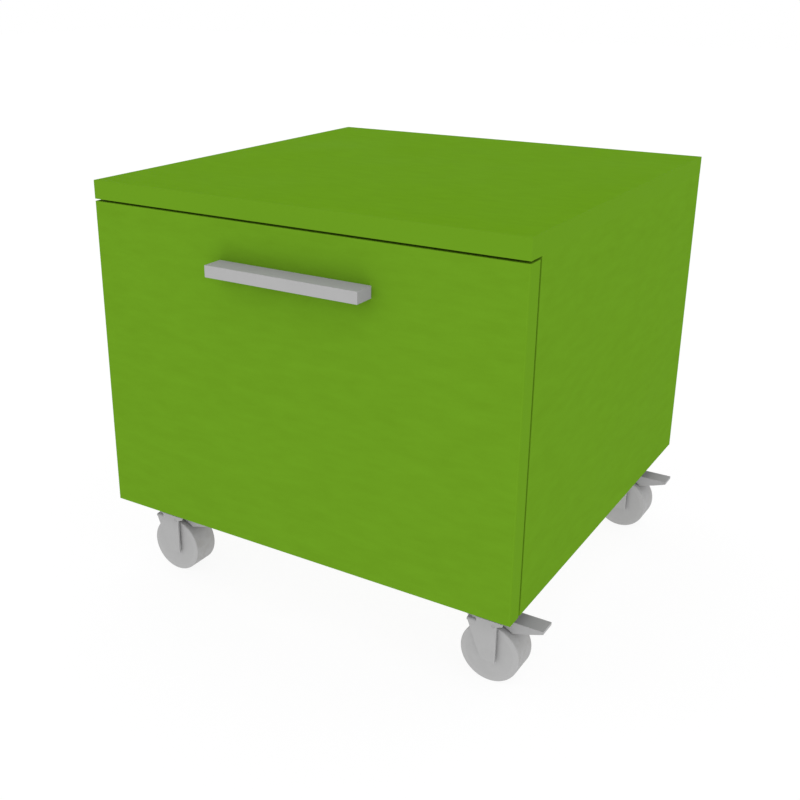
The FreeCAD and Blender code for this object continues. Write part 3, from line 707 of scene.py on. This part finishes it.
def makeMouldedNylon(name, grey, shade, paintedShadeGrey=None):
    # moulded nylon of wheel core and pedal: even light grey with slight flow clouds, and the
    # matt skin of a spark-eroded mould; on the pedal, painted shade near other pieces
    material = emptyMaterial(name)
    here = addNode(material, "TexCoord")["Object"]
    flow = addNode(
        material,
        "TexNoise",
        {"Vector": here, "Scale": perMetre(wheelNylon["flowMm"]), "Distortion": 0.6},
    )["Fac"]
    greys = {mixBy: flow, mixA: linear(grey), mixB: linear(shade)}
    moulded = addNode(material, "Mix", greys, data_type="RGBA")[mixOut]
    rubbed = rubbedEdges(
        material, casterGrey["rubReachMm"], wheelNylon["chipMm"], wheelNylon["chipShare"]
    )
    colours = {mixBy: rubbed, mixA: moulded, mixB: linear(casterGrey["chipped"])}
    colour = addNode(material, "Mix", colours, data_type="RGBA")[mixOut]
    # the pedal only: painted shade near the cabinet and other pieces
    if paintedShadeGrey:
        colour = paintedShadeNearOthers(material, colour, paintedShadeGrey, shadedPedalNylon["paintedShadeReachMm"])
    gloss = addNode(
        material, "TexNoise", {"Vector": here, "Scale": perMetre(wheelNylon["glossMm"])}
    )["Fac"]
    shine = {"To Min": wheelNylon["smoothest"], "To Max": wheelNylon["dullest"]}
    roughness = addNode(material, "MapRange", {"Value": gloss, **shine})["Result"]
    skin = addNode(
        material, "TexVoronoi", {"Vector": here, "Scale": perMetre(wheelNylon["sparkMm"])}
    )["Distance"]
    relief = addNode(
        material, "Bump", {"Height": skin, "Distance": wheelNylon["sparkDepthMm"] * mm}
    )["Normal"]
    surface = addNode(
        material,
        "BsdfPrincipled",
        {
            "Base Color": colour,
            "Roughness": roughness,
            "IOR": 1.53,
            "Specular IOR Level": casterGrey["sheen"],
            "Normal": relief,
        },
    )["BSDF"]
    addNode(material, "OutputMaterial", {"Surface": surface})
    return material


treadRubber = {
    "grey": "b1b1b1",
    "dusty": "a9a8a6",
    "dustMm": 7.0,
    "dustPatches": {"From Min": 0.45, "From Max": 0.7},  # more of the band is clean than dusty
    "bandToSide": {"From Min": 0.3, "From Max": 0.7},  # over the rounding between the two
    "scuffLongMm": 3.0,
    "scuffMm": 1.0,
    "scuffDepthMm": 0.05,
    "smoothest": 0.55,
    "dullest": 0.85,
}


def makeMouldedRubber(name):
    # soft grey rubber tyre: matt, its running band a little darker than its sides, dusty in
    # patches, with fine scuffs across it
    material = emptyMaterial(name)
    place = addNode(material, "TexCoord")
    here = place["Object"]
    noise = addNode(
        material,
        "TexNoise",
        {"Vector": here, "Scale": perMetre(treadRubber["dustMm"]), "Detail": 5.0, "Roughness": 0.65},
    )["Fac"]
    dust = addNode(material, "MapRange", {"Value": noise, **treadRubber["dustPatches"]})["Result"]
    greys = {mixBy: dust, mixA: linear(treadRubber["grey"]), mixB: linear(treadRubber["dusty"])}
    band = addNode(material, "Mix", greys, data_type="RGBA")[mixOut]
    facing = addNode(material, "SeparateXYZ", {"Vector": place["Normal"]})["Y"]  # the axles lie along Y
    across = addNode(material, "Math", {0: facing}, operation="ABSOLUTE")["Value"]
    side = addNode(material, "MapRange", {"Value": across, **treadRubber["bandToSide"]})["Result"]
    greys = {mixBy: side, mixA: band, mixB: linear(casterGrey["grey"])}
    colour = addNode(material, "Mix", greys, data_type="RGBA")[mixOut]
    scuff = treadRubber["scuffMm"]
    lengths = scuff, treadRubber["scuffLongMm"], scuff
    dragged = addNode(material, "Mapping", {"Vector": here, "Scale": perMetre(*lengths)})["Vector"]
    scuffs = addNode(material, "TexNoise", {"Vector": dragged, "Scale": 1.0, "Detail": 3.0})["Fac"]
    shine = {"To Min": treadRubber["smoothest"], "To Max": treadRubber["dullest"]}
    roughness = addNode(material, "MapRange", {"Value": scuffs, **shine})["Result"]
    relief = addNode(
        material, "Bump", {"Height": scuffs, "Distance": treadRubber["scuffDepthMm"] * mm}
    )["Normal"]
    surface = addNode(
        material,
        "BsdfPrincipled",
        {
            "Base Color": colour,
            "Roughness": roughness,
            "IOR": 1.52,
            "Specular IOR Level": casterGrey["sheen"],
            "Normal": relief,
        },
    )["BSDF"]
    addNode(material, "OutputMaterial", {"Surface": surface})
    return material


# what each slot of the frame is made of
surfaces = {
    "green_laminate": makePearledMelamine(
        "pearledGreenMelamine", "xy", boardGreen["green"], boardGreen["darkerGreen"]
    ),
    "green_edging": makeExtrudedAbs("extrudedGreenAbs"),
    "white_laminate": makePressedMelamine("pressedWhiteMelamine"),
    "hardboard": makeLacqueredHardboard("lacqueredHardboard"),
    "beech": makeTurnedBeech("turnedBeech"),
    "cast_zinc": makeDieCastZinc("dieCastZinc"),
    "zinc_steel": makeZincPlatedStrip("zincPlatedStrip"),
    "screw_steel": makeZincPlatedScrew("zincPlatedScrew"),
    "ball_steel": makePolishedBearingSteel("polishedBearingSteel"),
    "cage_plastic": makeMouldedAcetal("mouldedAcetal"),
    "satin_grey_metal": makeSatinLacquer("satinLacqueredCastZinc"),
    "grey_enamel": makePowderCoatedSteel("powderCoatedSteel"),
    "grey_nylon": makeMouldedNylon("mouldedGreyNylon", casterGrey["grey"], casterGrey["shade"]),
    "grey_tread": makeMouldedRubber("mouldedGreyRubber"),
    "rubber_dot": makeCastPolyurethane("castPolyurethane"),
}
# pieces with a finish of their own, by the end of their name
ownFinishes = {
    "top_panel": makePearledMelamine(  # its clouds run from side to side, and its greens are painted less blue against the reflection on top
        "pearledGreenMelamineTop", "x", boardGreen["topGreen"], boardGreen["topDarkerGreen"]
    ),
    # the pedals: a darker grey and painted shade, for their place under the cabinet
    "_pedal": makeMouldedNylon(
        "mouldedGreyNylonPedalPaintedShade", shadedPedalNylon["grey"], shadedPedalNylon["shade"], shadedPedalNylon["paintedShadeGrey"]
    ),
    "_axle": surfaces["grey_enamel"],  # riveted flush, and coated with the fork
}

for part in frame["record"]["subparts"]:
    chosen = surfaces[part["material_slot"]]
    for ending, finish in ownFinishes.items():
        if part["node"].endswith(ending):
            chosen = finish
    piece = frame["nodes"][part["node"]]
    piece.data.materials.clear()
    piece.data.materials.append(chosen)
print("finishes for slots:", len(surfaces), "and for single pieces:", len(ownFinishes))


studioFloor = {
    "half": 8.0,  # metres from the middle to the floor's edge
    "grey": "aaaaaa",
    "glow": 0.6,  # the floor is a light table, so undersides are lit as well
    "paleness": 0.87,  # what the camera sees of the floor's own glow
    "shadowShare": 0.16,  # and how much light and shadow it sees on top of that
}


def sightRays(owner):
    # 1 for the rays that show the background: the camera's own, mirrored ones and those through glass
    ray = addNode(owner, "LightPath")
    rays = {0: ray["Is Camera Ray"], 1: ray["Is Glossy Ray"]}
    straight = addNode(owner, "Math", rays, operation="MAXIMUM")["Value"]
    rays = {0: straight, 1: ray["Is Transmission Ray"]}
    return addNode(owner, "Math", rays, operation="MAXIMUM")["Value"]


def makeFloor():
    half = studioFloor["half"]
    mesh = bpy.data.meshes.new("paleFloor")
    corners = [(-half, -half, 0), (half, -half, 0), (half, half, 0), (-half, half, 0)]
    mesh.from_pydata(corners, [], [(0, 1, 2, 3)])
    floor = bpy.data.objects.new("paleFloor", mesh)
    bpy.context.scene.collection.objects.link(floor)
    material = emptyMaterial("paleLightTable")
    share = studioFloor["shadowShare"]
    shadowed = addNode(material, "BsdfDiffuse", {"Color": (share, share, share, 1)})["BSDF"]
    pale = addNode(material, "Emission", {"Strength": studioFloor["paleness"]})["Emission"]
    shown = addNode(material, "AddShader", {0: shadowed, 1: pale})["Shader"]
    matt = addNode(material, "BsdfDiffuse", {"Color": linear(studioFloor["grey"])})["BSDF"]
    glow = addNode(material, "Emission", {"Strength": studioFloor["glow"]})["Emission"]
    lighting = addNode(material, "AddShader", {0: matt, 1: glow})["Shader"]
    looking = sightRays(material)
    surface = addNode(material, "MixShader", {0: looking, 1: lighting, 2: shown})["Shader"]
    addNode(material, "OutputMaterial", {"Surface": surface})
    mesh.materials.append(material)


skyBrightness = 0.94  # of the white all round, as a light


def makeSky():
    # a white room that lights evenly from all round, and shows as plain white
    world = bpy.data.worlds.new("whiteStudio")
    bpy.context.scene.world = world
    world.use_nodes = True
    world.node_tree.nodes.clear()
    white = (1.0, 1.0, 1.0, 1.0)
    lighting = addNode(world, "Background", {"Color": white, "Strength": skyBrightness})["Background"]
    shown = addNode(world, "Background", {"Color": white, "Strength": 1.0})["Background"]
    room = addNode(world, "MixShader", {0: sightRays(world), 1: lighting, 2: shown})["Shader"]
    addNode(world, "OutputWorld", {"Surface": room})


softboxes = {  # places in metres
    "frontSoftbox": {"watts": 3.0, "place": (0.3, -2.4, 0.5)},
    "sideSoftbox": {"watts": 0.2, "place": (2.3, -0.3, 0.5)},
}
softboxWidth = 1.2  # metres


def addSoftbox(name, watts, place):
    lamp = bpy.data.lights.new(name, "AREA")
    lamp.shape = "DISK"
    lamp.size = softboxWidth
    lamp.energy = watts
    holder = bpy.data.objects.new(name, lamp)
    holder.location = place
    cabinetMiddle = (cadBox[0] + cadBox[1]) / 2
    holder.rotation_mode = "QUATERNION"
    holder.rotation_quaternion = (cabinetMiddle - Vector(place)).to_track_quat("-Z", "Y")
    bpy.context.scene.collection.objects.link(holder)


camera = {
    "standsAt": (0.47157, -0.85098, 0.53459),
    "turn": 32.38,  # degrees from +Y towards -X
    "tilt": -20.35,  # degrees above level, so it looks down
    "focalMm": 48.38,
    "sensorMm": 36.0,
    "shiftX": 0.0600,
    "shiftY": -0.0332,
}


def makeCamera():
    lens = bpy.data.cameras.new("camera")
    lens.lens = camera["focalMm"]
    lens.sensor_width = camera["sensorMm"]
    lens.shift_x = camera["shiftX"]
    lens.shift_y = camera["shiftY"]
    holder = bpy.data.objects.new("camera", lens)
    holder.location = camera["standsAt"]
    turn, tilt = math.radians(camera["turn"]), math.radians(camera["tilt"])
    ahead = Vector((-math.sin(turn) * math.cos(tilt), math.cos(turn) * math.cos(tilt), math.sin(tilt)))
    holder.rotation_mode = "QUATERNION"
    holder.rotation_quaternion = ahead.to_track_quat("-Z", "Y")
    bpy.context.scene.collection.objects.link(holder)
    bpy.context.scene.camera = holder


makeFloor()
makeSky()
for name, box in softboxes.items():
    addSoftbox(name, box["watts"], box["place"])
makeCamera()
bpy.context.scene.view_settings.view_transform = "Standard"
print("floor, light and camera set")
